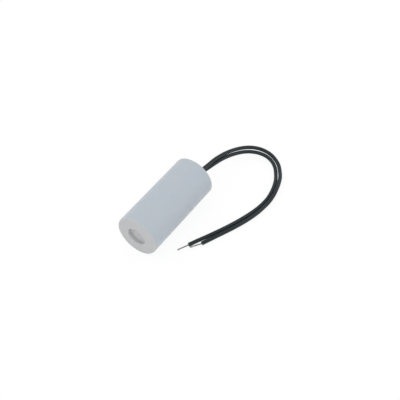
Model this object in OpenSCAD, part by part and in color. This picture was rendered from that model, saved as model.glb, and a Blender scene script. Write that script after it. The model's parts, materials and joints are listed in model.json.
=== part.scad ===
// Motor run capacitor with two flying leads, lying on its side.
//
// Frame: X runs along the can from its closed end (-X) to its lead end (+X), Z is up,
// and the origin is on the table under the middle of the can.
//
// How it is made: a moulded cup holds a roll of metallised film. Both ends of the roll
// are sprayed with metal, a lead is soldered to each, and resin fills the rest of the cup.
// Lead B's insulated wire runs back through the core of the roll to the closed end.

/* [Case] */
// Outer diameter of the moulded cup
case_d = 30; // [28:0.5:36]
// Length of the cup, over its closed end and its rim
case_l = 64; // [58:1:74]
// Thickness of the side wall
case_wall = 1.2; // [0.8:0.1:1.8]
// Thickness of the closed end
end_wall = 2.2; // [1.6:0.1:3]
// Rounding of the closed end's outer edge
end_edge_r = 1.2; // [0.4:0.1:2]
// Chamfer on the rim's two edges
rim_chamfer = 0.3; // [0.1:0.05:0.5]

/* [Recess in the closed end] */
// Diameter of the round recess
recess_d = 13; // [10:0.5:16]
// Depth of the recess
recess_depth = 2.5; // [2.2:0.1:3.5]
// Wall and floor of the dimple that forms the recess
recess_wall = 1.5; // [1:0.1:2]
// Rounding of the recess's mouth
recess_edge_r = 0.8; // [0.4:0.1:1.2]

/* [Centring ribs] */
// Number of ribs that hold the roll in the middle of the cup
rib_count = 6; // [3:1:8]
// Width of each rib
rib_w = 1; // [0.8:0.1:1.6]
// Gap between a rib and the roll
rib_gap = 0.15; // [0.05:0.05:0.3]

/* [Film roll] */
// Outer diameter of the roll
roll_d = 24.6; // [18:0.1:25]
// Length of the film, without the sprayed ends
roll_l = 45; // [39:1:46]
// Thickness of each sprayed metal end
contact_t = 0.6; // [0.4:0.1:1]
// Outer diameter of the tube that the film is wound on
core_d = 6; // [5:0.1:8]
// Gap between lead B and the core's bore
core_gap = 0.15; // [0.1:0.05:0.3]
// Gap between the dimple and the roll's nearer end
roll_standoff = 2.6; // [2.2:0.1:4]

/* [Resin] */
// Depth of the resin's face below the rim
resin_depth = 1; // [0.6:0.1:1.5]
// Height that the resin creeps up the wall and the leads
creep = 0.4; // [0.2:0.05:0.5]

/* [Leads] */
// Outer diameter of each lead's jacket
lead_d = 2.7; // [2:0.1:2.8]
// Distance between the two leads where they leave the resin
lead_pitch = 2.9; // [2.85:0.05:3.2]
// Diameter of the stranded conductor
conductor_d = 0.9; // [0.6:0.05:1.1]
// Length of bare conductor at each free end, without its tinned tip
bare_l = 6.2; // [4:0.1:8]
// Length of the tinned tip
tin_l = 2.4; // [1.5:0.1:4]
// Diameter of the tinned tip
tin_d = 1.15; // [1.15:0.05:1.4]
// Radius of the solder joint's foot on the roll's end
solder_r = 1.9; // [1.5:0.1:2.4]
// Height of the solder joint
solder_h = 1.3; // [1.1:0.1:1.6]
// Distance from the roll's end to the start of both jackets in the resin
jacket_standoff = 4; // [3:0.1:4.5]
// Straight stretch of each lead outside the resin's face
lead_straight = 2; // [1:0.5:3]

/* [Hidden] */

$fn = 96;
eps = 0.01;
arc_steps = 6;

// Case
case_r = case_d / 2;
axis_z = case_r;
closed_x = -case_l / 2;
rim_x = case_l / 2;
bore_r = case_r - case_wall;
recess_r = recess_d / 2;
dimple_r = recess_r + recess_wall;
dimple_x = closed_x + recess_depth + recess_wall;

// Film roll, stacked from the dimple towards the lead end
roll_r = roll_d / 2;
rib_top_r = roll_r + rib_gap;
contact_closed_x = dimple_x + roll_standoff;
roll_x = contact_closed_x + contact_t;
contact_lead_x = roll_x + roll_l;
stack_end_x = contact_lead_x + contact_t;
core_r = core_d / 2;
lead_r = lead_d / 2;
core_bore_r = lead_r + core_gap;

// Resin
resin_x = rim_x - resin_depth;

// Conductors
conductor_r = conductor_d / 2;
solder_margin = 0.2;
jacket_b_setback = 2;
solder_seat_r = core_r + solder_r + solder_margin;
jacket_b_stop_x = contact_closed_x + jacket_b_setback;

// Routes of the two jackets, point by point along their centrelines. Both start in the
// resin over the roll. B leaves on the can's axis with A just below it; they come down to
// the table side by side in one loop, B leaning on A for a stretch, and end beside the can.
lead_start_x = stack_end_x + jacket_standoff;
route_a = concat(
    straight_start(axis_z - lead_pitch),
    [[40.1, -1, 12], [47.1, -2.4, 11.7], [54, -3.6, 11.2], [60.5, -5, 10.4],
     [66.4, -6.8, 9.4], [71.7, -9, 8.3], [76.7, -11.7, 7], [81, -15.2, 5.6],
     [84.3, -19.9, 4.2], [85.6, -25.6, 3], [84.5, -30.7, 2.1], [81.3, -35.3, 1.6],
     [76.6, -39, 1.4], [71.3, -42.1, 1.4], [65.4, -44.3, 1.4], [59.4, -45.7, 1.4],
     [53.4, -46.4, 1.4], [46.9, -46.1, 1.4], [40.7, -45.1, 1.4], [34.4, -43.5, 1.4],
     [28, -41.5, 1.4], [21.7, -39.2, 1.4], [15.5, -36.7, 1.4], [9.2, -33.9, 1.4],
     [3.1, -31.1, 1.4], [-3.2, -28, 1.4], [-9.6, -25.1, 1.4]]
);
route_b = concat(
    straight_start(axis_z),
    [[39.9, -1.3, 14.9], [46.6, -2, 14.6], [53, -2.5, 14.1], [59.5, -3.5, 13.2],
     [65.4, -4.8, 12.1], [71.1, -6.6, 10.8], [76.4, -8.9, 9.4], [81.2, -11.8, 7.9],
     [85.3, -15.6, 6.3], [88, -20.6, 4.8], [88.8, -26.1, 3.5], [87.6, -31.2, 2.5],
     [84.4, -36.3, 2.1], [79.8, -40.3, 2], [74.8, -43.6, 2.1], [69, -46, 2.4],
     [63, -47.7, 2.6], [57.1, -48.8, 2.5], [50.8, -49.2, 2.4], [44.5, -48.6, 2.1],
     [38.2, -47.5, 1.7], [31.8, -45.8, 1.5], [25.4, -43.7, 1.4], [19, -41.3, 1.4],
     [13, -38.8, 1.4], [7.3, -36.3, 1.4], [1.7, -33.9, 1.4], [-3.8, -31.5, 1.4]]
);
// Directions in which the bare conductors point at the free ends
bare_dir_a = unit([-7.7, 3.6, 0]);
bare_dir_b = unit([-7.5, 4.9, 0]);
jacket_sides = 8;

// ---- Vector helpers ----

function unit(v) = v / norm(v);
function last(list) = list[len(list) - 1];
function straight_start(z) = [[lead_start_x, 0, z], [resin_x + lead_straight, 0, z]];
// Direction of a route at its point i
function heading(route, i) =
    let (before = max(i - 1, 0), after = min(i + 1, len(route) - 1))
    unit(route[after] - route[before]);
// One ring of the jacket's corners round point i of a route
function ring(route, i, r) =
    let (
        ahead = heading(route, i),
        side = unit(cross([0, 0, 1], ahead)),
        up = cross(ahead, side)
    )
    [for (k = [0:jacket_sides - 1])
        let (a = 360 * (k + 0.5) / jacket_sides)
        route[i] + r * (cos(a) * side + sin(a) * up)];
// A quarter circle of radius r about a centre, from angle a0 to angle a1
function arc(centre, r, a0, a1) =
    [for (k = [0:arc_steps])
        let (a = a0 + (a1 - a0) * k / arc_steps)
        centre + r * [cos(a), sin(a)]];

// ---- Placing helpers ----

// Turns a shape built along +Z so that it runs along +X, with its base on the plane x
module along_x(x, z = axis_z) {
    translate([x, 0, z]) rotate([0, 90, 0]) children();
}

// A round rod along +X between two planes
module rod_x(x0, x1, r, z = axis_z) {
    along_x(x0, z) cylinder(r = r, h = x1 - x0);
}

// A flat ring along +X
module washer_x(x, t, r_out, r_in) {
    along_x(x) difference() {
        cylinder(r = r_out, h = t);
        translate([0, 0, -eps]) cylinder(r = r_in, h = t + 2 * eps);
    }
}

// Turns a shape built along +Z so that it runs along a direction from a point
module along(point, direction) {
    azimuth = atan2(direction[1], direction[0]);
    tilt = acos(direction[2]);
    translate(point) rotate([0, tilt, azimuth]) children();
}

// Round jacket swept along a route
module jacket(route) {
    count = len(route);
    corners = [for (i = [0:count - 1]) each ring(route, i, lead_r)];
    walls = [for (i = [0:count - 2], k = [0:jacket_sides - 1])
        let (next = (k + 1) % jacket_sides, a = i * jacket_sides, b = a + jacket_sides)
        [a + k, a + next, b + next, b + k]];
    start_cap = [[for (k = [jacket_sides - 1:-1:0]) k]];
    end_cap = [[for (k = [0:jacket_sides - 1]) (count - 1) * jacket_sides + k]];
    polyhedron(points = corners, faces = reverse_all(concat(start_cap, walls, end_cap)));
}
function reverse_all(faces) = [for (f = faces) [for (k = [len(f) - 1:-1:0]) f[k]]];

// ---- Case ----

// Half section of the cup, as [radius, distance from the closed end]
module case_section() {
    recess_mouth = [recess_r + recess_edge_r, recess_edge_r];
    outer_edge = [case_r - end_edge_r, end_edge_r];
    difference() {
        polygon(concat(
            [[0, recess_depth], [recess_r, recess_depth]],
            arc(recess_mouth, recess_edge_r, 180, 270),
            arc(outer_edge, end_edge_r, -90, 0),
            [[case_r, case_l - rim_chamfer], [case_r - rim_chamfer, case_l], [0, case_l]]
        ));
        cavity_section(case_l);
        translate([0, case_l - rim_chamfer]) polygon([
            [0, 0], [bore_r, 0], [bore_r + rim_chamfer, rim_chamfer + eps], [0, rim_chamfer + eps]
        ]);
    }
}

// Half section of the space inside the cup, up to a height, round the dimple
module cavity_section(top) {
    inner_edge_r = end_edge_r;
    polygon(concat(
        [[0, dimple_x - closed_x], [dimple_r, dimple_x - closed_x], [dimple_r, end_wall]],
        arc([bore_r - inner_edge_r, end_wall + inner_edge_r], inner_edge_r, -90, 0),
        [[bore_r, top + eps], [0, top + eps]]
    ));
}

// Ribs inside the cup, from the closed end to just past the film roll
module ribs() {
    rib_l = stack_end_x - closed_x - end_wall;
    intersection() {
        for (k = [0:rib_count - 1])
            along_x(closed_x + end_wall - eps)
                rotate(360 * (k + 0.5) / rib_count)
                    translate([rib_top_r, -rib_w / 2, 0])
                        cube([case_r - rib_top_r, rib_w, rib_l + eps]);
        rod_x(closed_x, rim_x, bore_r + case_wall / 2);
    }
}

module case() {
    color("gainsboro") {
        along_x(closed_x) rotate_extrude() case_section();
        ribs();
    }
}

// ---- Resin ----

// Half section of the resin, filled to its face and creeping up the cup's wall
module resin_section() {
    face = resin_x - closed_x;
    difference() {
        cavity_section(face + creep);
        polygon(concat(
            [[-eps, face]],
            arc([bore_r - creep, face + creep], creep, -90, 0),
            [[bore_r + eps, face + creep], [bore_r + eps, face + 3 * creep], [-eps, face + 3 * creep]]
        ));
    }
}

// The resin that creeps up a lead, as a ring with a hollow slope
module creep_ring(z) {
    along_x(resin_x - eps, z) rotate_extrude()
        difference() {
            square([lead_r + creep, creep + eps]);
            translate([lead_r + creep, creep + eps]) circle(r = creep);
        }
}

module resin() {
    color("darkseagreen") difference() {
        union() {
            along_x(closed_x) rotate_extrude() resin_section();
            creep_ring(axis_z);
            creep_ring(axis_z - lead_pitch);
        }
        ribs();
        rod_x(contact_closed_x, stack_end_x, roll_r);
        rod_x(contact_closed_x, rim_x, lead_r);
        rod_x(lead_start_x, rim_x, lead_r, axis_z - lead_pitch);
        root_a_wire();
        root_b_wire();
        solder_mound_a();
        solder_mound_b();
    }
}

// ---- Film roll ----

module film_roll() {
    color("lightsteelblue") washer_x(roll_x, roll_l, roll_r, core_r);
}

module core_tube() {
    color("whitesmoke")
        washer_x(contact_closed_x, stack_end_x - contact_closed_x, core_r, core_bore_r);
}

module contact_closed_end() {
    color("darkgray") washer_x(contact_closed_x, contact_t, roll_r, core_r);
}

module contact_lead_end() {
    color("darkgray") washer_x(contact_lead_x, contact_t, roll_r, core_r);
}

// ---- Conductors inside the can ----

// Lead A's conductor, from its jacket down to the roll's end
module root_a_wire() {
    start = [lead_start_x, 0, axis_z - lead_pitch];
    foot = [stack_end_x, 0, axis_z - solder_seat_r];
    run = unit(foot - start);
    intersection() {
        along(start - run, run) cylinder(r = conductor_r, h = norm(foot - start) + 2, $fn = 32);
        rod_x(stack_end_x, lead_start_x, roll_r);
    }
}

// Lead B's conductor, out of the core and up the roll's closed end
module root_b_wire() {
    corner_x = contact_closed_x - conductor_r;
    rod_x(corner_x, jacket_b_stop_x, conductor_r);
    translate([corner_x, 0, axis_z]) sphere(r = conductor_r);
    translate([corner_x, 0, axis_z]) cylinder(r = conductor_r, h = solder_seat_r);
}

// A low mound of solder on the roll's end, before its wire is taken out
module mound() {
    ball_r = (solder_r * solder_r + solder_h * solder_h) / (2 * solder_h);
    intersection() {
        translate([0, 0, solder_h - ball_r]) sphere(r = ball_r);
        cylinder(r = solder_r + 1, h = solder_h + 1);
    }
}

module solder_mound_a() {
    along_x(stack_end_x, axis_z - solder_seat_r) mound();
}

module solder_mound_b() {
    translate([contact_closed_x, 0, axis_z + solder_seat_r]) rotate([0, -90, 0]) mound();
}

module conductor_a_root() {
    color("silver") root_a_wire();
}

module conductor_b_root() {
    color("silver") root_b_wire();
}

module solder_a() {
    color("silver") difference() {
        solder_mound_a();
        root_a_wire();
    }
}

module solder_b() {
    color("silver") difference() {
        solder_mound_b();
        root_b_wire();
    }
}

// ---- Leads ----

module lead_a() {
    color("darkslategray") jacket(route_a);
}

module lead_b() {
    color("darkslategray") jacket(route_b);
}

// Lead B's jacket inside the resin and the core, up to where its free route starts
module lead_b_core_run() {
    color("darkslategray") rod_x(jacket_b_stop_x, lead_start_x, lead_r);
}

// Bare conductor from the jacket's cut face to its tinned tip
module bare_end(route, direction) {
    face = last(route);
    ahead = heading(route, len(route) - 1);
    difference() {
        along(face - lead_r * direction, direction)
            cylinder(r = conductor_r, h = lead_r + bare_l, $fn = 32);
        along(face - 2 * lead_d * ahead, ahead) cylinder(r = lead_d, h = 2 * lead_d);
    }
}

// Solder-dipped tip with a rounded nose
module tinned_tip(route, direction) {
    nose_r = tin_d / 2;
    foot = last(route) + bare_l * direction;
    along(foot, direction) cylinder(r = nose_r, h = tin_l - nose_r, $fn = 32);
    along(foot + (tin_l - nose_r) * direction, direction) sphere(r = nose_r, $fn = 32);
}

module conductor_a_end() {
    color("silver") bare_end(route_a, bare_dir_a);
}

module conductor_b_end() {
    color("silver") bare_end(route_b, bare_dir_b);
}

module tin_a() {
    color("gainsboro") tinned_tip(route_a, bare_dir_a);
}

module tin_b() {
    color("gainsboro") tinned_tip(route_b, bare_dir_b);
}

case();
resin();
film_roll();
core_tube();
contact_closed_end();
contact_lead_end();
lead_a();
lead_b();
lead_b_core_run();
conductor_a_root();
conductor_b_root();
solder_a();
solder_b();
conductor_a_end();
conductor_b_end();
tin_a();
tin_b();
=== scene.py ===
"""Motor run capacitor with two flying leads, lying on its side on a white table.

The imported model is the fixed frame. The moulded can, its resin and everything inside them are
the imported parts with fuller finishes. The two leads, their bare strands and their tinned tips
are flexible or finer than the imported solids, so they are modelled here.

Frame, as in the part's source: X runs along the can from its closed end (-X) to its lead end
(+X), Z is up, and the origin is on the table under the middle of the can. All sizes are in
metres unless a name says otherwise.
"""

from __future__ import annotations

import json
import logging
import math
from collections.abc import Callable, Sequence
from dataclasses import dataclass, field
from enum import Enum
from typing import Any

import bmesh
import bpy
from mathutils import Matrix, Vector, noise

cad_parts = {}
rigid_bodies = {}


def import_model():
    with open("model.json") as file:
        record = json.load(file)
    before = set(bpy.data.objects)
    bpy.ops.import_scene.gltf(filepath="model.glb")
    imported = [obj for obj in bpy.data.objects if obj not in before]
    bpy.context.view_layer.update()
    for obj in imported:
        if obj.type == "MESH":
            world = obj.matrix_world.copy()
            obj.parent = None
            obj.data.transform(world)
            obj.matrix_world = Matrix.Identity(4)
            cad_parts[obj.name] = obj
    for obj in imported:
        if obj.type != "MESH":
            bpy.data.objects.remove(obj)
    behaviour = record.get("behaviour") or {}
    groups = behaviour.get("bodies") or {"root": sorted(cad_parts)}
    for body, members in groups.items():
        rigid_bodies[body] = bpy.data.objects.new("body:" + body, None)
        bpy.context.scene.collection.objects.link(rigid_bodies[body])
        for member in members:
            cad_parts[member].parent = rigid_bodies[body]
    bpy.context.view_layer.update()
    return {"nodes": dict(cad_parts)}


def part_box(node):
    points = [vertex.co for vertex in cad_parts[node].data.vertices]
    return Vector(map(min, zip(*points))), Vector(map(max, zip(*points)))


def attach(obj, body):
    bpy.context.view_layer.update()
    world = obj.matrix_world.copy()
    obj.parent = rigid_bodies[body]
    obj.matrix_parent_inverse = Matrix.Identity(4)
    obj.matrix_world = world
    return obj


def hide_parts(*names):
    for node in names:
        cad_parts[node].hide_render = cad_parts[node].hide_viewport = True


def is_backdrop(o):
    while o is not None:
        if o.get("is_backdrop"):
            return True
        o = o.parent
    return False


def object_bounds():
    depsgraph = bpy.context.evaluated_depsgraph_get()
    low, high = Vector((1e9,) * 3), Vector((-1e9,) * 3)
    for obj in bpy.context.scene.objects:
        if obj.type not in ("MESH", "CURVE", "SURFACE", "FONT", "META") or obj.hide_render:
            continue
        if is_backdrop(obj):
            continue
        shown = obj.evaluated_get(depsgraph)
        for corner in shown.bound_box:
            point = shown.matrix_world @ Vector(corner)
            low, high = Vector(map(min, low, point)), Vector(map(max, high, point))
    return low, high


log = logging.getLogger("capacitor")

BODY = "root"
UP = Vector((0.0, 0.0, 1.0))
UNROLLED = "unrolled"
FULL_TURN = 2 * math.pi

Colour = tuple[float, float, float]
Point = tuple[float, float, float]


class Slot(Enum):
    """The record's material slots."""

    CASE = "case_plastic"
    RESIN = "resin"
    FILM = "film"
    CORE = "core_plastic"
    ZINC = "sprayed_zinc"
    JACKET = "jacket_pvc"
    WIRE = "tinned_wire"
    SOLDER = "solder"


class Space(Enum):
    """Where a finish takes its texture coordinates from."""

    FRAME = "the packed frame, in metres"
    DRAWN_WIRE = "the wire as it was drawn, before it was bent"


# ---- Nodes ----


class NodeKit:
    """Builds the nodes of one material."""

    def __init__(self, name: str, space: Space) -> None:
        """Starts a material.

        Args:
            name: The material's name.
            space: Where its textures take their coordinates from.
        """
        self.material = bpy.data.materials.new(name)
        self.material.use_nodes = True
        self.tree = self.material.node_tree
        self.shader = self.tree.nodes["Principled BSDF"]
        if space is Space.FRAME:
            self.place = self.node("ShaderNodeTexCoord").outputs["Object"]
        else:
            attribute = self.node("ShaderNodeAttribute", attribute_name=UNROLLED)
            self.place = attribute.outputs["Vector"]

    def node(self, kind: str, **settings: Any) -> bpy.types.Node:
        """Adds a node.

        Args:
            kind: The node's type.
            settings: Its own properties, such as an operation.

        Returns:
            The node.
        """
        made = self.tree.nodes.new(kind)
        for key, value in settings.items():
            setattr(made, key, value)
        return made

    def feed(self, socket: bpy.types.NodeSocket, value: Any) -> None:
        """Links a socket to another, or sets it to a plain value.

        Args:
            socket: The socket that is fed.
            value: Another socket, a colour or a number.
        """
        if isinstance(value, bpy.types.NodeSocket):
            self.tree.links.new(value, socket)
        elif isinstance(value, tuple) and socket.type == "RGBA":
            socket.default_value = (*value, 1.0)
        else:
            socket.default_value = value

    def maths(self, operation: str, *values: Any) -> bpy.types.NodeSocket:
        """Adds a Math node.

        Args:
            operation: The node's operation.
            values: Up to three numbers or sockets that it works on.

        Returns:
            The result.
        """
        made = self.node("ShaderNodeMath", operation=operation)
        for socket, value in zip(made.inputs, values):
            self.feed(socket, value)
        return made.outputs[0]

    def cloud(
        self,
        scale: float,
        detail: float = 2.0,
        stretch: Point = (1.0, 1.0, 1.0),
    ) -> bpy.types.NodeSocket:
        """Adds a noise texture.

        Args:
            scale: How many features there are in a metre.
            detail: How many octaves of finer noise there are.
            stretch: How much the scale is multiplied by along each axis.

        Returns:
            The noise, from about 0.3 to 0.7.
        """
        made = self.node("ShaderNodeTexNoise")
        self.feed(made.inputs["Vector"], self.stretched(stretch))
        made.inputs["Scale"].default_value = scale
        made.inputs["Detail"].default_value = detail
        return made.outputs["Fac"]

    def stretched(self, stretch: Point, shift: Point = (0.0, 0.0, 0.0)) -> bpy.types.NodeSocket:
        """Scales and shifts the texture coordinates.

        Args:
            stretch: What each axis is multiplied by.
            shift: How far each axis is moved.

        Returns:
            The changed coordinates.
        """
        made = self.node("ShaderNodeMapping")
        self.feed(made.inputs["Vector"], self.place)
        made.inputs["Location"].default_value = shift
        made.inputs["Scale"].default_value = stretch
        return made.outputs["Vector"]

    def axis(self, name: str) -> bpy.types.NodeSocket:
        """Gives one of the texture coordinates.

        Args:
            name: X, Y or Z.

        Returns:
            The coordinate.
        """
        made = self.node("ShaderNodeSeparateXYZ")
        self.feed(made.inputs[0], self.place)
        return made.outputs[name]

    def ramp(
        self, value: bpy.types.NodeSocket, low: float, high: float, to_low: float, to_high: float
    ) -> bpy.types.NodeSocket:
        """Maps a value from one range to another, smoothly and within its ends.

        Args:
            value: The value.
            low: Where the first range starts.
            high: Where it ends.
            to_low: What low becomes.
            to_high: What high becomes.

        Returns:
            The mapped value.
        """
        made = self.node("ShaderNodeMapRange", interpolation_type="SMOOTHSTEP", clamp=True)
        for name, number in (
            ("Value", value),
            ("From Min", low),
            ("From Max", high),
            ("To Min", to_low),
            ("To Max", to_high),
        ):
            self.feed(made.inputs[name], number)
        return made.outputs["Result"]

    def mix(self, share: Any, first: Any, second: Any) -> bpy.types.NodeSocket:
        """Mixes two colours.

        Args:
            share: The share of the second, from 0 to 1.
            first: The first colour.
            second: The second colour.

        Returns:
            The mixed colour.
        """
        made = self.node("ShaderNodeMix", data_type="RGBA", clamp_factor=True)
        self.feed(made.inputs["Factor"], share)
        self.feed(made.inputs[6], first)
        self.feed(made.inputs[7], second)
        return made.outputs[2]

    def bump(self, *layers: tuple[bpy.types.NodeSocket, float, Any]) -> None:
        """Stacks bumps on the shader's normal.

        Args:
            layers: Each layer's height from 0 to 1, its real height, and its strength.
        """
        normal: bpy.types.NodeSocket | None = None
        for height, real_height, strength in layers:
            made = self.node("ShaderNodeBump")
            self.feed(made.inputs["Height"], height)
            self.feed(made.inputs["Strength"], strength)
            made.inputs["Distance"].default_value = real_height
            if normal is not None:
                self.tree.links.new(normal, made.inputs["Normal"])
            normal = made.outputs["Normal"]
        if normal is not None:
            self.tree.links.new(normal, self.shader.inputs["Normal"])

    def shade(self, **sockets: Any) -> None:
        """Feeds the shader's sockets, whose names are given with _ for each space."""
        for name, value in sockets.items():
            socket = next(
                s
                for s in self.shader.inputs
                if s.name.lower().replace(" ", "_") == name
            )
            self.feed(socket, value)


# ---- Finishes ----


@dataclass(frozen=True)
class MouldedPlastic:
    """Satin moulded polypropylene, faintly cloudy, with a painted highlight along its edges,
    where it is also a little less rough.

    The side wall is thin enough for the grey film behind it to cool its white. The closed end
    and its dimple are thicker and keep the plastic's own white.
    """

    colour: Colour = (0.477, 0.530, 0.590)
    cloudy_colour: Colour = (0.492, 0.538, 0.588)
    thick_colour: Colour = (0.530, 0.540, 0.545)
    # Lighter colour of the painted highlight along the can's outer edges.
    edge_highlight_colour: Colour = (0.535, 0.555, 0.575)
    roughness: tuple[float, float] = (0.42, 0.52)
    # Width of the band that the painted edge highlight covers.
    highlight_band: float = 0.0016
    thick_band: tuple[float, float] = (0.0004, 0.0024)
    dimple_radius: float = 0.008

    def build(self, can: CanSizes) -> bpy.types.Material:
        """Builds the case's material.

        Args:
            can: The can's sizes, which say where its edges are.

        Returns:
            The material.
        """
        kit = NodeKit("moulded_plastic", Space.FRAME)
        cloud = kit.ramp(kit.cloud(90.0, 3.0), 0.35, 0.65, 0.0, 1.0)
        along = kit.axis("X")
        starts, ends = (can.closed_x + offset for offset in self.thick_band)
        off_axis = self.off_axis(kit, can)
        dimple = kit.ramp(off_axis, self.dimple_radius, 1.1 * self.dimple_radius, 1.0, 0.0)
        thick = kit.maths("MAXIMUM", dimple, kit.ramp(along, starts, ends, 1.0, 0.0))
        side = kit.mix(cloud, self.colour, self.cloudy_colour)
        body = kit.mix(thick, side, self.thick_colour)
        # Painted highlight: a lighter colour along the outer edges of the closed end and the rim
        # stands in for the table's reflection there. Noise mottles it, and the same mask lowers
        # the roughness a little.
        near_closed = kit.ramp(along, can.closed_x + self.highlight_band, can.closed_x, 0.0, 1.0)
        near_rim = kit.ramp(along, can.rim_x - self.highlight_band, can.rim_x, 0.0, 1.0)
        edge = kit.maths("MAXIMUM", near_closed, near_rim)
        outer = kit.ramp(off_axis, can.radius - self.highlight_band, can.radius, 0.0, 1.0)
        highlight_mottle = kit.ramp(kit.cloud(420.0, 4.0), 0.42, 0.62, 0.25, 1.0)
        highlight_and_polish = kit.maths("MULTIPLY", kit.maths("MULTIPLY", edge, outer), highlight_mottle)
        roughness = kit.ramp(kit.cloud(260.0, 4.0), 0.35, 0.65, *self.roughness)
        kit.shade(
            base_color=kit.mix(highlight_and_polish, body, self.edge_highlight_colour),
            roughness=kit.maths("SUBTRACT", roughness, kit.maths("MULTIPLY", highlight_and_polish, 0.08)),
            ior=1.49,
            subsurface_weight=0.12,
            subsurface_radius=(1.0, 0.95, 0.9),
            subsurface_scale=0.0025,
            sheen_weight=0.4,
            sheen_roughness=0.3,
            sheen_tint=(1.0, 0.96, 0.9),
        )
        facing = kit.node("ShaderNodeNewGeometry").outputs["Normal"]
        facing_closed = kit.node("ShaderNodeSeparateXYZ")
        kit.feed(facing_closed.inputs[0], facing)
        on_end = kit.ramp(facing_closed.outputs["X"], -0.9, -0.99, 0.0, 0.16)
        kit.bump(
            (kit.cloud(110.0, 1.0), 0.0004, 0.1),
            (kit.cloud(2600.0, 3.0), 0.00004, 0.35),
            (self.tool_rings(kit, can), 0.00002, on_end),
        )
        return kit.material

    @staticmethod
    def off_axis(kit: NodeKit, can: CanSizes) -> bpy.types.NodeSocket:
        """Works out how far a point is from the can's axis.

        Args:
            kit: The material's nodes.
            can: The can's sizes.

        Returns:
            The distance.
        """
        across = kit.axis("Y")
        above = kit.maths("SUBTRACT", kit.axis("Z"), can.axis_z)
        squares = kit.maths(
            "ADD", kit.maths("POWER", across, 2.0), kit.maths("POWER", above, 2.0)
        )
        return kit.maths("SQRT", squares)

    @staticmethod
    def tool_rings(kit: NodeKit, can: CanSizes) -> bpy.types.NodeSocket:
        """Draws the fine rings that the mould's turned insert leaves on the closed end.

        Args:
            kit: The material's nodes.
            can: The can's sizes.

        Returns:
            The rings, from 0 to 1.
        """
        rings = kit.node("ShaderNodeTexWave", wave_type="RINGS", rings_direction="X")
        kit.feed(rings.inputs["Vector"], kit.stretched((1.0, 1.0, 1.0), (0.0, 0.0, -can.axis_z)))
        rings.inputs["Scale"].default_value = 620.0
        rings.inputs["Distortion"].default_value = 0.6
        return rings.outputs["Fac"]


@dataclass(frozen=True)
class PouredResin:
    """Glossy poured resin with a slow swell and a few burst bubbles."""

    colour: Colour = (0.62, 0.58, 0.46)
    deep_colour: Colour = (0.55, 0.51, 0.39)

    def build(self) -> bpy.types.Material:
        """Builds the resin's material.

        Returns:
            The material.
        """
        kit = NodeKit("poured_resin", Space.FRAME)
        cloud = kit.ramp(kit.cloud(160.0, 3.0), 0.35, 0.68, 0.0, 1.0)
        bubbles = kit.node("ShaderNodeTexVoronoi", feature="F1")
        kit.feed(bubbles.inputs["Vector"], kit.place)
        bubbles.inputs["Scale"].default_value = 420.0
        pits = kit.ramp(bubbles.outputs["Distance"], 0.06, 0.16, 0.0, 1.0)
        kit.shade(
            base_color=kit.mix(cloud, self.colour, self.deep_colour),
            roughness=kit.ramp(kit.cloud(240.0, 2.0), 0.35, 0.65, 0.12, 0.24),
            ior=1.54,
            subsurface_weight=0.1,
            subsurface_radius=(1.0, 0.9, 0.6),
            subsurface_scale=0.0015,
        )
        kit.bump((kit.cloud(170.0, 1.0), 0.0008, 0.3), (pits, 0.0002, 0.5))
        return kit.material


@dataclass(frozen=True)
class ExtrudedVinyl:
    """Black PVC, with the die's lines along the wire and a dull bloom in patches."""

    colour: Colour = (0.0100, 0.0175, 0.0225)
    bloom_colour: Colour = (0.0170, 0.0260, 0.0320)

    def build(self) -> bpy.types.Material:
        """Builds the jackets' material.

        Returns:
            The material.
        """
        kit = NodeKit("extruded_vinyl", Space.DRAWN_WIRE)
        bloom = kit.ramp(kit.cloud(220.0, 4.0, (0.4, 1.0, 1.0)), 0.42, 0.68, 0.0, 1.0)
        die_lines = kit.cloud(3200.0, 1.0, (0.01, 1.0, 1.0))
        grain = kit.cloud(5200.0, 2.0)
        kit.shade(
            base_color=kit.mix(bloom, self.colour, self.bloom_colour),
            roughness=kit.ramp(bloom, 0.0, 1.0, 0.28, 0.42),
            ior=1.53,
            specular_ior_level=0.28,
        )
        kit.bump((die_lines, 0.00003, 0.35), (grain, 0.000012, 0.3))
        return kit.material


@dataclass(frozen=True)
class BareMetal:
    """Tinned or soldered metal that has dulled a little."""

    name: str
    space: Space
    colour: Colour
    dull_colour: Colour
    roughness: tuple[float, float]
    grain: float
    dimple: float

    def build(self) -> bpy.types.Material:
        """Builds the metal's material.

        Returns:
            The material.
        """
        kit = NodeKit(self.name, self.space)
        dull = kit.ramp(kit.cloud(self.grain, 3.0), 0.38, 0.64, 0.0, 1.0)
        kit.shade(
            base_color=kit.mix(dull, self.colour, self.dull_colour),
            metallic=1.0,
            roughness=kit.ramp(dull, 0.0, 1.0, *self.roughness),
        )
        kit.bump((kit.cloud(2.5 * self.grain, 2.0), self.dimple, 0.5))
        return kit.material


@dataclass(frozen=True)
class SprayedZinc:
    """Zinc sprayed on the roll's ends, in coarse dull grains."""

    colour: Colour = (0.27, 0.275, 0.28)
    bright_colour: Colour = (0.5, 0.5, 0.49)

    def build(self) -> bpy.types.Material:
        """Builds the sprayed metal's material.

        Returns:
            The material.
        """
        kit = NodeKit("sprayed_zinc", Space.FRAME)
        grains = kit.cloud(1700.0, 5.0)
        bright = kit.ramp(grains, 0.5, 0.68, 0.0, 1.0)
        kit.shade(
            base_color=kit.mix(bright, self.colour, self.bright_colour),
            metallic=0.85,
            roughness=kit.ramp(grains, 0.3, 0.7, 0.75, 0.5),
        )
        kit.bump((grains, 0.0002, 0.8))
        return kit.material


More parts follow.
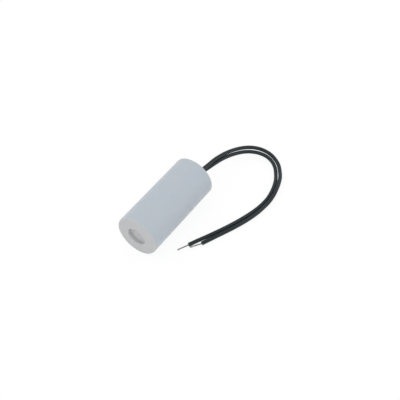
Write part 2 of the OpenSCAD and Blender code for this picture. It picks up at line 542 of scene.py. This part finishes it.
@dataclass(frozen=True)
class WoundFilm:
    """Metallised film wound round its core, whose turns show as fine rings."""

    colour: Colour = (0.45, 0.47, 0.5)
    edge_colour: Colour = (0.6, 0.62, 0.64)

    def build(self, can: CanSizes) -> bpy.types.Material:
        """Builds the film roll's material.

        Args:
            can: The can's sizes, which say where the roll's axis is.

        Returns:
            The material.
        """
        kit = NodeKit("wound_film", Space.FRAME)
        turns = kit.node("ShaderNodeTexWave", wave_type="RINGS", rings_direction="X")
        kit.feed(turns.inputs["Vector"], kit.stretched((1.0, 1.0, 1.0), (0.0, 0.0, -can.axis_z)))
        turns.inputs["Scale"].default_value = 900.0
        turns.inputs["Distortion"].default_value = 0.8
        kit.shade(
            base_color=kit.mix(turns.outputs["Fac"], self.colour, self.edge_colour),
            metallic=0.6,
            roughness=kit.ramp(kit.cloud(300.0, 2.0), 0.3, 0.7, 0.22, 0.34),
        )
        kit.bump((turns.outputs["Fac"], 0.00003, 0.4))
        return kit.material


@dataclass(frozen=True)
class DrawnTube:
    """Extruded plastic tube with draw marks along it."""

    colour: Colour = (0.66, 0.66, 0.62)
    mark_colour: Colour = (0.58, 0.58, 0.54)

    def build(self) -> bpy.types.Material:
        """Builds the core tube's material.

        Returns:
            The material.
        """
        kit = NodeKit("drawn_tube", Space.FRAME)
        marks = kit.cloud(1500.0, 2.0, (0.02, 1.0, 1.0))
        kit.shade(
            base_color=kit.mix(
                kit.ramp(marks, 0.35, 0.65, 0.0, 1.0), self.colour, self.mark_colour
            ),
            roughness=kit.ramp(marks, 0.3, 0.7, 0.4, 0.5),
        )
        kit.bump((marks, 0.00004, 0.4))
        return kit.material


class Finishes:
    """All the finishes, each built once and found by its slot."""

    def __init__(self, can: CanSizes) -> None:
        """Builds the materials.

        Args:
            can: The can's sizes, for the finishes that depend on them.
        """
        strand = BareMetal(
            name="tinned_strand",
            space=Space.FRAME,
            colour=(0.36, 0.355, 0.34),
            dull_colour=(0.22, 0.215, 0.205),
            roughness=(0.26, 0.42),
            grain=900.0,
            dimple=0.00002,
        )
        solder = BareMetal(
            name="solder_skin",
            space=Space.FRAME,
            colour=(0.40, 0.395, 0.38),
            dull_colour=(0.26, 0.255, 0.245),
            roughness=(0.2, 0.36),
            grain=700.0,
            dimple=0.00005,
        )
        self.materials: dict[Slot, bpy.types.Material] = {
            Slot.CASE: MouldedPlastic().build(can),
            Slot.RESIN: PouredResin().build(),
            Slot.FILM: WoundFilm().build(can),
            Slot.CORE: DrawnTube().build(),
            Slot.ZINC: SprayedZinc().build(),
            Slot.JACKET: ExtrudedVinyl().build(),
            Slot.WIRE: strand.build(),
            Slot.SOLDER: solder.build(),
        }

    def dress_packed(self, node: bpy.types.Object, slot: Slot) -> None:
        """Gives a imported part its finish, in every slot of its object."""
        for place in node.material_slots:
            place.material = self.materials[slot]

    def dress_new(self, piece: bpy.types.Object, slot: Slot) -> None:
        """Gives a new piece its finish."""
        piece.data.materials.append(self.materials[slot])


# ---- Shapes ----


@dataclass(frozen=True)
class Station:
    """A place along a wire: its centre, three directions, and how far along it is."""

    centre: Vector
    ahead: Vector
    side: Vector
    up: Vector
    along: float

    def point(self, radius: float, angle: float, forward: float = 0.0) -> Vector:
        """A point round the wire's centre."""
        across = self.side * math.cos(angle) + self.up * math.sin(angle)
        return self.centre + across * radius + self.ahead * forward

    def unrolled(self, radius: float, angle: float, forward: float = 0.0) -> Vector:
        """The same point on the straight wire, before it was bent."""
        return Vector(
            (self.along + forward, radius * math.cos(angle), radius * math.sin(angle))
        )


def smooth_line(points: Sequence[Vector], step: float) -> list[Vector]:
    """Draws a smooth line through points, straight over its first stretch.

    Args:
        points: The points that it passes through.
        step: About how far apart the line's own points are.

    Returns:
        The line's points, from the first of points to the last.
    """
    slopes = [
        (points[min(i + 1, len(points) - 1)] - points[max(i - 1, 0)])
        / (1.0 if i in (0, len(points) - 1) else 2.0)
        for i in range(len(points))
    ]
    slopes[1] = slopes[0].normalized() * slopes[1].length
    line = [points[0].copy()]
    for start, end, leave, arrive in zip(points, points[1:], slopes, slopes[1:]):
        count = max(1, round((end - start).length / step))
        for k in range(1, count + 1):
            t = k / count
            t2, t3 = t * t, t * t * t
            line.append(
                start * (2 * t3 - 3 * t2 + 1)
                + leave * (t3 - 2 * t2 + t)
                + end * (3 * t2 - 2 * t3)
                + arrive * (t3 - t2)
            )
    return line


def stations(line: Sequence[Vector]) -> list[Station]:
    """Gives a line the directions that a swept ring needs at each of its points.

    Args:
        line: The line's points.

    Returns:
        A station for each point.
    """
    made: list[Station] = []
    along = 0.0
    for i, centre in enumerate(line):
        if i:
            along += (centre - line[i - 1]).length
        ahead = (line[min(i + 1, len(line) - 1)] - line[max(i - 1, 0)]).normalized()
        side = UP.cross(ahead).normalized()
        made.append(Station(centre, ahead, side, ahead.cross(side), along))
    return made


class Skin:
    """A mesh that grows ring by ring and becomes one piece of the scene."""

    def __init__(self) -> None:
        """Starts with no corners."""
        self.corners: list[Vector] = []
        self.drawn: list[Vector] = []
        self.faces: list[tuple[int, ...]] = []

    def ring(self, corners: Sequence[Vector], drawn: Sequence[Vector] | None = None) -> range:
        """Adds a ring of corners.

        Args:
            corners: Where they are.
            drawn: Where they were on the straight wire, or None where it doesn't matter.

        Returns:
            The numbers of the new corners.
        """
        first = len(self.corners)
        self.corners.extend(corners)
        self.drawn.extend(drawn if drawn is not None else corners)
        return range(first, len(self.corners))

    def wall(self, ring: range, following: range) -> range:
        """Joins two rings that have as many corners.

        Args:
            ring: The first ring.
            following: The second ring.

        Returns:
            The second ring.
        """
        count = len(ring)
        for k in range(count):
            after = (k + 1) % count
            self.faces.append((ring[k], ring[after], following[after], following[k]))
        return following

    def cap(self, ring: range, reverse: bool = False) -> None:
        """Closes a ring with a fan round its middle.

        Args:
            ring: The ring.
            reverse: Whether the fan faces back, as it does at a start.
        """
        middle = sum((self.corners[i] for i in ring), Vector()) / len(ring)
        drawn = sum((self.drawn[i] for i in ring), Vector()) / len(ring)
        hub = self.ring([middle], [drawn])[0]
        for k in range(len(ring)):
            pair = (ring[k], ring[(k + 1) % len(ring)])
            self.faces.append((*reversed(pair), hub) if reverse else (*pair, hub))

    def piece(self, name: str, sharp_angle: float = 40.0) -> bpy.types.Object:
        """Makes the object, with its faces outward, and lets it ride on the body.

        Args:
            name: The piece's name.
            sharp_angle: The angle in degrees from which an edge stays sharp.

        Returns:
            The object.
        """
        mesh = bpy.data.meshes.new(name)
        mesh.from_pydata([tuple(c) for c in self.corners], [], self.faces)
        shape = bmesh.new()
        shape.from_mesh(mesh)
        bmesh.ops.recalc_face_normals(shape, faces=shape.faces)
        shape.to_mesh(mesh)
        shape.free()
        mesh.shade_smooth()
        mesh.set_sharp_from_angle(angle=math.radians(sharp_angle))
        unrolled = mesh.attributes.new(UNROLLED, "FLOAT_VECTOR", "POINT")
        unrolled.data.foreach_set("vector", [x for v in self.drawn for x in v])
        piece = bpy.data.objects.new(name, mesh)
        bpy.context.scene.collection.objects.link(piece)
        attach(piece, BODY)
        return piece


# ---- The can ----


@dataclass(frozen=True)
class CanSizes:
    """Where the moulded can's faces and axis are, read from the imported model."""

    closed_x: float
    rim_x: float
    axis_z: float
    radius: float

    @classmethod
    def of_frame(cls) -> CanSizes:
        """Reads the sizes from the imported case."""
        low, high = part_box("case")
        return cls(low.x, high.x, (low.z + high.z) / 2, (high.y - low.y) / 2)


@dataclass(frozen=True)
class PottedCan:
    """The moulded can, its resin and what they hold, with the mark where it was filled."""

    sizes: CanSizes
    recess_depth: float = 0.0025
    packed_slots: dict[str, Slot] = field(
        default_factory=lambda: {
            "case": Slot.CASE,
            "resin": Slot.RESIN,
            "film_roll": Slot.FILM,
            "core_tube": Slot.CORE,
            "contact_closed_end": Slot.ZINC,
            "contact_lead_end": Slot.ZINC,
            "lead_b_core_run": Slot.JACKET,
            "conductor_a_root": Slot.WIRE,
            "conductor_b_root": Slot.WIRE,
            "solder_a": Slot.SOLDER,
            "solder_b": Slot.SOLDER,
        }
    )
    gate_profile: tuple[tuple[float, float], ...] = (
        (0.00115, -0.00005),
        (0.00110, 0.00002),
        (0.00098, 0.00005),
        (0.00080, 0.00006),
        (0.00055, 0.00008),
        (0.00045, 0.00011),
        (0.00025, 0.00012),
    )
    gate_sides: int = 40
    gate_torn: float = 0.00006
    gate_torn_height: float = 0.0004
    gate_grain: tuple[float, float] = (2.3, 9000.0)

    def dress(self, nodes: dict[str, bpy.types.Object], finishes: Finishes) -> None:
        """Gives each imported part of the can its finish.

        Args:
            nodes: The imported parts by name.
            finishes: The finishes.
        """
        for name, slot in self.packed_slots.items():
            finishes.dress_packed(nodes[name], slot)
            log.info("%s: packed part, finished as %s", name, slot.value)

    def build_gate(self, finishes: Finishes) -> bpy.types.Object:
        """Builds the stub that the mould's gate leaves in the middle of the recess.

        Args:
            finishes: The finishes.

        Returns:
            The gate's piece.
        """
        floor_x = self.sizes.closed_x + self.recess_depth
        skin = Skin()
        previous: range | None = None
        for radius, height in self.gate_profile:
            corners = []
            for k in range(self.gate_sides):
                angle = FULL_TURN * k / self.gate_sides
                across = Vector((0.0, math.cos(angle), math.sin(angle)))
                outward = Vector((radius * self.gate_grain[1], 0, 0))
                torn = self.gate_torn * noise.noise(across * self.gate_grain[0] + outward)
                lift = height + torn * min(1.0, max(0.0, height / self.gate_torn_height))
                corners.append(
                    Vector((floor_x - lift, 0.0, self.sizes.axis_z)) + across * radius
                )
            ring = skin.ring(corners)
            if previous is None:
                skin.cap(ring, reverse=True)
            else:
                skin.wall(previous, ring)
            previous = ring
        skin.cap(previous)
        piece = skin.piece("gate_mark", sharp_angle=60.0)
        finishes.dress_new(piece, Slot.CASE)
        log.info("%s: stub in the middle of the recess", piece.name)
        return piece


# ---- The leads ----


@dataclass(frozen=True)
class WireSizes:
    """Sizes that both leads share."""

    jacket_radius: float = 0.00135
    bore_radius: float = 0.00052
    bore_depth: float = 0.0012
    cut_edge: float = 0.00012
    conductor_radius: float = 0.00045
    bare_length: float = 0.0062
    tin_length: float = 0.0024
    tin_radius: float = 0.000575
    strand_lay: float = 0.0085
    lead_in: float = 0.0002
    tin_overlap: float = 0.0005
    swell: float = 0.006
    ovality: float = 0.004
    tin_sides: int = 48
    jacket_sides: int = 32
    jacket_step: float = 0.0009
    strand_sides: int = 8
    strand_step: float = 0.00022

    @property
    def strand_radius(self) -> float:
        """Radius of one strand, of which five lie side by side across the conductor."""
        return self.conductor_radius / 5


@dataclass
class FlyingLead:
    """One lead: its jacket, the bare twisted strands and the tinned tip."""

    name: str
    level: float
    route: tuple[Point, ...]
    bare_direction: Point
    length: float
    seed: float
    wire: WireSizes = field(default_factory=WireSizes)
    line: list[Vector] = field(init=False, default_factory=list)

    def lay_out(self, start_x: float, straight_end_x: float) -> None:
        """Draws the jacket's centreline from the resin to its cut end.

        Args:
            start_x: Where the jacket starts, inside the resin.
            straight_end_x: Where its straight stretch outside the resin ends.
        """
        straight = [(start_x, 0.0, self.level), (straight_end_x, 0.0, self.level)]
        self.line = smooth_line(
            [Vector(p) for p in (*straight, *self.route)], self.wire.jacket_step
        )

    @property
    def bare_line(self) -> list[Vector]:
        """The bare conductor's centreline, from inside the jacket to the end of the tip.

        Returns:
            The line's points.
        """
        face = self.line[-1]
        ahead = (face - self.line[-2]).normalized()
        out = Vector(self.bare_direction).normalized()
        reach = self.wire.bare_length + self.wire.tin_length
        knots = [face - ahead * self.wire.bore_depth, face + ahead * self.wire.lead_in]
        knots += [face + out * (reach * t) for t in (0.25, 0.6, 1.0)]
        return smooth_line(knots, self.wire.strand_step)

    def jacket_radius_at(self, along: float, angle: float) -> float:
        """The jacket's radius, which varies a little as it was extruded.

        Args:
            along: How far along the jacket the place is.
            angle: The angle round it.

        Returns:
            The radius.
        """
        swell = noise.noise(Vector((along * 90.0, self.seed, 0.0)))
        oval = math.cos(2 * angle + along * 25.0 + self.seed)
        size = 1.0 - self.wire.swell + self.wire.swell * swell + self.wire.ovality * oval
        return self.wire.jacket_radius * size

    def build_jacket(self, finishes: Finishes) -> bpy.types.Object:
        """Sweeps the jacket, whose free end shows its wall and its bore.

        Args:
            finishes: The finishes.

        Returns:
            The jacket's piece.
        """
        skin = Skin()
        angles = [FULL_TURN * k / self.wire.jacket_sides for k in range(self.wire.jacket_sides)]

        def ring(
            place: Station,
            size: Callable[[float], float],
            forward: Callable[[float], float],
        ) -> range:
            """Adds a ring of the jacket.

            Args:
                place: Where along the jacket it is.
                size: Its radius at each angle.
                forward: How far ahead of the place it is at each angle.

            Returns:
                The numbers of its corners.
            """
            return skin.ring(
                [place.point(size(a), a, forward(a)) for a in angles],
                [place.unrolled(size(a), a, forward(a)) for a in angles],
            )

        places = stations(self.line)
        previous: range | None = None
        for place in places[:-1]:
            now = ring(place, lambda a: self.jacket_radius_at(place.along, a), lambda a: 0.0)
            if previous is None:
                skin.cap(now, reverse=True)
            else:
                skin.wall(previous, now)
            previous = now
        end = places[-1]

        def cut(angle: float) -> float:
            """How far forward the knife left the cut face at an angle."""
            ragged = noise.noise(Vector((math.cos(angle) * 2, math.sin(angle) * 2, self.seed)))
            return 0.00007 * ragged + 0.00009 * math.cos(angle + self.seed)

        outer, edge, bore = self.wire.jacket_radius, self.wire.cut_edge, self.wire.bore_radius
        for size, forward in (
            (outer * 0.995, -edge * 2),
            (outer * 0.995, -edge),
            (outer - edge * 0.35, -edge * 0.3),
            (outer - edge, 0.0),
            ((outer + bore) / 2, -edge * 0.25),
            (bore + edge * 0.5, 0.0),
            (bore, -edge * 0.6),
            (bore, -self.wire.bore_depth),
        ):
            weight = 0.0 if forward <= -self.wire.bore_depth else 1.0
            now = ring(end, lambda a: size, lambda a: forward + weight * cut(a))
            previous = skin.wall(previous, now)
        skin.cap(previous)
        piece = skin.piece(f"{self.name}_jacket", sharp_angle=50.0)
        finishes.dress_new(piece, Slot.JACKET)
        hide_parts(self.name)
        log.info("%s: jacket, %d corners", piece.name, len(piece.data.vertices))
        return piece

    def strand_places(self) -> list[tuple[float, float]]:
        """Places the strands: one in the middle, six round it and twelve outside.

        Returns:
            The radius and angle of each strand.
        """
        size = self.wire.strand_radius
        places = [(0.0, 0.0)]
        places += [(2 * size, FULL_TURN * k / 6) for k in range(6)]
        places += [(3.9 * size, FULL_TURN * (k + 0.5) / 12) for k in range(12)]
        return places

    def build_strands(self, finishes: Finishes) -> bpy.types.Object:
        """Twists the conductor's strands together, each a closed tube.

        Args:
            finishes: The finishes.

        Returns:
            The strands' piece.
        """
        skin = Skin()
        places = stations(self.bare_line)
        stop = self.wire.bore_depth + self.wire.bare_length + 0.4 * self.wire.tin_length
        places = [p for p in places if p.along <= stop]
        sides = [FULL_TURN * k / self.wire.strand_sides for k in range(self.wire.strand_sides)]
        for number, (offset, phase) in enumerate(self.strand_places()):
            previous: range | None = None
            for place in places:
                turn = phase + FULL_TURN * place.along / self.wire.strand_lay
                stray = 1.0 + 0.06 * noise.noise(
                    Vector((place.along * 600.0, number * 3.7, self.seed))
                )
                middle = place.point(offset * stray, turn)
                ring = skin.ring(
                    [
                        middle
                        + (place.side * math.cos(a) + place.up * math.sin(a))
                        * self.wire.strand_radius
                        for a in sides
                    ]
                )
                if previous is None:
                    skin.cap(ring, reverse=True)
                else:
                    skin.wall(previous, ring)
                previous = ring
            skin.cap(previous)
        piece = skin.piece(f"{self.name}_strands", sharp_angle=60.0)
        finishes.dress_new(piece, Slot.WIRE)
        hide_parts(f"conductor_{self.name[-1]}_end")
        log.info("%s: %d strands", piece.name, len(self.strand_places()))
        return piece

    def tip_radius(self, share: float, angle: float, along: float) -> float:
        """The tinned tip's radius, ribbed by the strands where the solder is thin.

        Args:
            share: How far along the tip the place is, from 0 to 1.
            angle: The angle round it.
            along: How far along the bare conductor the place is.

        Returns:
            The radius.
        """
        thin, full = self.wire.conductor_radius * 0.98, self.wire.tin_radius
        grown = min(1.0, share / 0.45)
        body = thin + (full - thin) * grown * grown * (3 - 2 * grown)
        nose_start = 1.0 - full / self.wire.tin_length
        if share > nose_start:
            t = (share - nose_start) / (1.0 - nose_start)
            body *= math.sqrt(max(0.0, 1.0 - t * t))
        twist = FULL_TURN * along / self.wire.strand_lay
        ribs = 0.05 * (1.0 - grown) * math.cos(12 * (angle - twist - math.pi / 12))
        lump = Vector((share * 3.0, math.cos(angle), math.sin(angle) + self.seed))
        blob = 0.07 * grown * noise.noise(lump)
        return body * (1.0 + ribs + blob - 0.03 * grown)

    def build_tip(self, finishes: Finishes) -> bpy.types.Object:
        """Builds the tinned tip, dipped once and set with a round nose.

        Args:
            finishes: The finishes.

        Returns:
            The tip's piece.
        """
        skin = Skin()
        bare = self.wire.bore_depth + self.wire.bare_length - self.wire.tin_overlap
        places = [p for p in stations(self.bare_line) if p.along >= bare]
        first, last = places[0].along, places[-1].along
        angles = [FULL_TURN * k / self.wire.tin_sides for k in range(self.wire.tin_sides)]
        previous: range | None = None
        for place in places[:-1]:
            share = (place.along - first) / (last - first)
            ring = skin.ring(
                [place.point(self.tip_radius(share, a, place.along), a) for a in angles]
            )
            if previous is None:
                skin.cap(ring, reverse=True)
            else:
                skin.wall(previous, ring)
            previous = ring
        skin.cap(previous)
        piece = skin.piece(f"{self.name}_tin", sharp_angle=70.0)
        finishes.dress_new(piece, Slot.SOLDER)
        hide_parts(f"tin_{self.name[-1]}")
        log.info("%s: tinned tip", piece.name)
        return piece

    def build(self, finishes: Finishes, resin_x: float) -> None:
        """Args:
            finishes: The finishes.
            resin_x: Where the lead leaves the resin; not used.
        """
        jacket = self.build_jacket(finishes)
        strands = self.build_strands(finishes)
        tip = self.build_tip(finishes)


# How far lead A leaves the resin below lead B, which leaves it on the can's axis.
LEAD_PITCH = 0.0029
# Points of each lead's centreline past its straight start, as in the part's source.
ROUTE_A: tuple[Point, ...] = (
    (0.0401, -0.0010, 0.0120), (0.0471, -0.0024, 0.0117), (0.0540, -0.0036, 0.0112),
    (0.0605, -0.0050, 0.0104), (0.0664, -0.0068, 0.0094), (0.0717, -0.0090, 0.0083),
    (0.0767, -0.0117, 0.0070), (0.0810, -0.0152, 0.0056), (0.0843, -0.0199, 0.0042),
    (0.0856, -0.0256, 0.0030), (0.0845, -0.0307, 0.0021), (0.0813, -0.0353, 0.0016),
    (0.0766, -0.0390, 0.0014), (0.0713, -0.0421, 0.0014), (0.0654, -0.0443, 0.0014),
    (0.0594, -0.0457, 0.0014), (0.0534, -0.0464, 0.0014), (0.0469, -0.0461, 0.0014),
    (0.0407, -0.0451, 0.0014), (0.0344, -0.0435, 0.0014), (0.0280, -0.0415, 0.0014),
    (0.0217, -0.0392, 0.0014), (0.0155, -0.0367, 0.0014), (0.0092, -0.0339, 0.0014),
    (0.0031, -0.0311, 0.0014), (-0.0032, -0.0280, 0.0014), (-0.0096, -0.0251, 0.0014),
)
ROUTE_B: tuple[Point, ...] = (
    (0.0399, -0.0013, 0.0149), (0.0466, -0.0020, 0.0146), (0.0530, -0.0025, 0.0141),
    (0.0595, -0.0035, 0.0132), (0.0654, -0.0048, 0.0121), (0.0711, -0.0066, 0.0108),
    (0.0764, -0.0089, 0.0094), (0.0812, -0.0118, 0.0079), (0.0853, -0.0156, 0.0063),
    (0.0880, -0.0206, 0.0048), (0.0888, -0.0261, 0.0035), (0.0876, -0.0312, 0.0025),
    (0.0844, -0.0363, 0.0021), (0.0798, -0.0403, 0.0020), (0.0748, -0.0436, 0.0021),
    (0.0690, -0.0460, 0.0024), (0.0630, -0.0477, 0.0026), (0.0571, -0.0488, 0.0025),
    (0.0508, -0.0492, 0.0024), (0.0445, -0.0486, 0.0021), (0.0382, -0.0475, 0.0017),
    (0.0318, -0.0458, 0.0015), (0.0254, -0.0437, 0.0014), (0.0190, -0.0413, 0.0014),
    (0.0130, -0.0388, 0.0014), (0.0073, -0.0363, 0.0014), (0.0017, -0.0339, 0.0014),
    (-0.0038, -0.0315, 0.0014),
)


@dataclass(frozen=True)
class LeadPair:
    """Both leads, from the resin's face to their tinned tips."""

    can: CanSizes
    resin_depth: float = 0.001
    straight: float = 0.002

    def laid_out(self) -> list[FlyingLead]:
        """Makes both leads and draws their centrelines.

        Returns:
            The leads.
        """
        axis_z = self.can.axis_z
        leads = [
            FlyingLead(
                name="lead_a",
                level=axis_z - LEAD_PITCH,
                route=ROUTE_A,
                bare_direction=(-7.7, 3.6, 0.0),
                length=0.181,
                seed=1.3,
            ),
            FlyingLead(
                name="lead_b",
                level=axis_z,
                route=ROUTE_B,
                bare_direction=(-7.5, 4.9, 0.0),
                length=0.183,
                seed=4.9,
            ),
        ]
        start_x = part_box("conductor_a_root")[1].x
        for lead in leads:
            lead.lay_out(start_x, self.resin_x + self.straight)
        return leads

    @property
    def resin_x(self) -> float:
        """Where the resin's face is."""
        return self.can.rim_x - self.resin_depth


# ---- The studio ----


@dataclass(frozen=True)
class Viewpoint:
    """The camera's place, as a direction and distance from where it aims on the table."""

    ahead_of_middle: float = 0.02709
    beside_middle: float = -0.00847
    azimuth: float = 34.98
    elevation: float = 49.87
    distance: float = 0.5693
    lens_mm: float = 74.5
    sensor_mm: float = 36.0

    def build(self) -> bpy.types.Object:
        """Makes the camera and sets it as the scene's.

        Returns:
            The camera.
        """
        low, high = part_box("case")
        middle = (low + high) / 2
        aim = Vector((middle.x + self.ahead_of_middle, middle.y + self.beside_middle, low.z))
        turn, rise = math.radians(self.azimuth), math.radians(self.elevation)
        look = Vector(
            (math.cos(turn) * math.cos(rise), math.sin(turn) * math.cos(rise), -math.sin(rise))
        )
        data = bpy.data.cameras.new("camera")
        data.lens = self.lens_mm
        data.sensor_width = self.sensor_mm
        data.clip_start, data.clip_end = 0.01, 50.0
        camera = bpy.data.objects.new("camera", data)
        camera.location = aim - look * self.distance
        camera.rotation_mode = "QUATERNION"
        camera.rotation_quaternion = look.to_track_quat("-Z", "Y")
        bpy.context.scene.collection.objects.link(camera)
        bpy.context.scene.camera = camera
        return camera


@dataclass(frozen=True)
class Lamp:
    """A square soft lamp that faces the object."""

    name: str
    azimuth: float
    elevation: float
    distance: float
    side: float
    watts: float
    colour: Colour = (1.0, 1.0, 1.0)

    def build(self, aim: Vector) -> bpy.types.Object:
        """Makes the lamp.

        Args:
            aim: The point that it faces.

        Returns:
            The lamp.
        """
        turn, rise = math.radians(self.azimuth), math.radians(self.elevation)
        away = Vector(
            (math.cos(turn) * math.cos(rise), math.sin(turn) * math.cos(rise), math.sin(rise))
        )
        data = bpy.data.lights.new(self.name, "AREA")
        data.shape = "SQUARE"
        data.size = self.side
        data.energy = self.watts
        data.color = self.colour
        lamp = bpy.data.objects.new(self.name, data)
        lamp.location = aim + away * self.distance
        lamp.rotation_mode = "QUATERNION"
        lamp.rotation_quaternion = (-away).to_track_quat("-Z", "Y")
        bpy.context.scene.collection.objects.link(lamp)
        return lamp


@dataclass(frozen=True)
class Studio:
    """White table, even white surroundings and soft lamps."""

    table_reach: float = 6.0
    table_gap: float = 0.00003
    table_colour: Colour = (0.93, 0.93, 0.93)
    shadow_share: float = 0.12
    table_light: float = 0.9
    fill_strength: float = 0.82
    lamps: tuple[Lamp, ...] = (
        Lamp("overhead_lamp", azimuth=100.0, elevation=62.0, distance=0.9, side=0.8, watts=1.0),
        Lamp("end_lamp", azimuth=200.0, elevation=35.0, distance=0.9, side=0.7, watts=0.6),
        Lamp("side_lamp", azimuth=310.0, elevation=12.0, distance=0.5, side=0.4, watts=0.2),
    )

    def build(self) -> None:
        """Makes the table, the surroundings and the lamps."""
        low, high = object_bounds()
        aim = (low + high) / 2
        for lamp in self.lamps:
            lamp.build(aim)
        self.build_table(aim, low.z)
        self.build_surroundings()
        bpy.context.scene.view_settings.view_transform = "Standard"

    @staticmethod
    def seen(tree: bpy.types.NodeTree) -> bpy.types.NodeSocket:
        """Tells whether a ray comes from the camera, or from gloss or glass.

        Args:
            tree: The nodes that it is added to.

        Returns:
            1 for such a ray, otherwise 0.
        """
        path = tree.nodes.new("ShaderNodeLightPath")
        highest = path.outputs["Is Camera Ray"]
        for other in ("Is Glossy Ray", "Is Transmission Ray"):
            made = tree.nodes.new("ShaderNodeMath")
            made.operation = "MAXIMUM"
            tree.links.new(highest, made.inputs[0])
            tree.links.new(path.outputs[other], made.inputs[1])
            highest = made.outputs[0]
        return highest

    def build_table(self, aim: Vector, level: float) -> None:
        """Makes the table top, which looks white and keeps a faint shadow.

        Args:
            aim: The point that the table is centred under.
            level: The height of its top.
        """
        material = bpy.data.materials.new("white_table")
        material.use_nodes = True
        tree = material.node_tree
        tree.nodes.clear()
        lit = tree.nodes.new("ShaderNodeBsdfDiffuse")
        lit.inputs["Color"].default_value = (*self.table_colour, 1.0)
        faint = tree.nodes.new("ShaderNodeBsdfDiffuse")
        faint.inputs["Color"].default_value = (*(self.shadow_share,) * 3, 1.0)
        glow = tree.nodes.new("ShaderNodeEmission")
        glow.inputs["Strength"].default_value = 1.0 - self.table_light * self.shadow_share
        shown = tree.nodes.new("ShaderNodeAddShader")
        choose = tree.nodes.new("ShaderNodeMixShader")
        output = tree.nodes.new("ShaderNodeOutputMaterial")
        for source, target in (
            (faint.outputs[0], shown.inputs[0]),
            (glow.outputs[0], shown.inputs[1]),
            (self.seen(tree), choose.inputs["Fac"]),
            (lit.outputs[0], choose.inputs[1]),
            (shown.outputs[0], choose.inputs[2]),
            (choose.outputs[0], output.inputs["Surface"]),
        ):
            tree.links.new(source, target)
        reach, height = self.table_reach, level - self.table_gap
        corners = [
            (aim.x + sx * reach, aim.y + sy * reach, height)
            for sx, sy in ((-1, -1), (1, -1), (1, 1), (-1, 1))
        ]
        mesh = bpy.data.meshes.new("table")
        mesh.from_pydata(corners, [], [(0, 1, 2, 3)])
        mesh.materials.append(material)
        table = bpy.data.objects.new("table", mesh)
        bpy.context.scene.collection.objects.link(table)
        table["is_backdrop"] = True

    def build_surroundings(self) -> None:
        """Makes the even surroundings: white where seen, softer where they only light."""
        world = bpy.data.worlds.new("surroundings")
        world.use_nodes = True
        bpy.context.scene.world = world
        tree = world.node_tree
        tree.nodes.clear()
        fill = tree.nodes.new("ShaderNodeBackground")
        fill.inputs["Color"].default_value = (1.0, 1.0, 1.0, 1.0)
        fill.inputs["Strength"].default_value = self.fill_strength
        white = tree.nodes.new("ShaderNodeBackground")
        white.inputs["Color"].default_value = (1.0, 1.0, 1.0, 1.0)
        choose = tree.nodes.new("ShaderNodeMixShader")
        output = tree.nodes.new("ShaderNodeOutputWorld")
        for source, target in (
            (self.seen(tree), choose.inputs["Fac"]),
            (fill.outputs[0], choose.inputs[1]),
            (white.outputs[0], choose.inputs[2]),
            (choose.outputs[0], output.inputs["Surface"]),
        ):
            tree.links.new(source, target)


def main() -> None:
    """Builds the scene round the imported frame."""
    logging.basicConfig(level=logging.INFO, format="%(name)s: %(message)s")
    for leftover in list(bpy.data.objects):
        bpy.data.objects.remove(leftover)
    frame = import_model()
    can = CanSizes.of_frame()
    Viewpoint().build()
    pair = LeadPair(can)
    leads = pair.laid_out()
    finishes = Finishes(can)
    for lead in leads:
        lead.build(finishes, pair.resin_x)
    body = PottedCan(can)
    body.dress(frame["nodes"], finishes)
    body.build_gate(finishes)
    Studio().build()


if __name__ == "__main__":
    main()
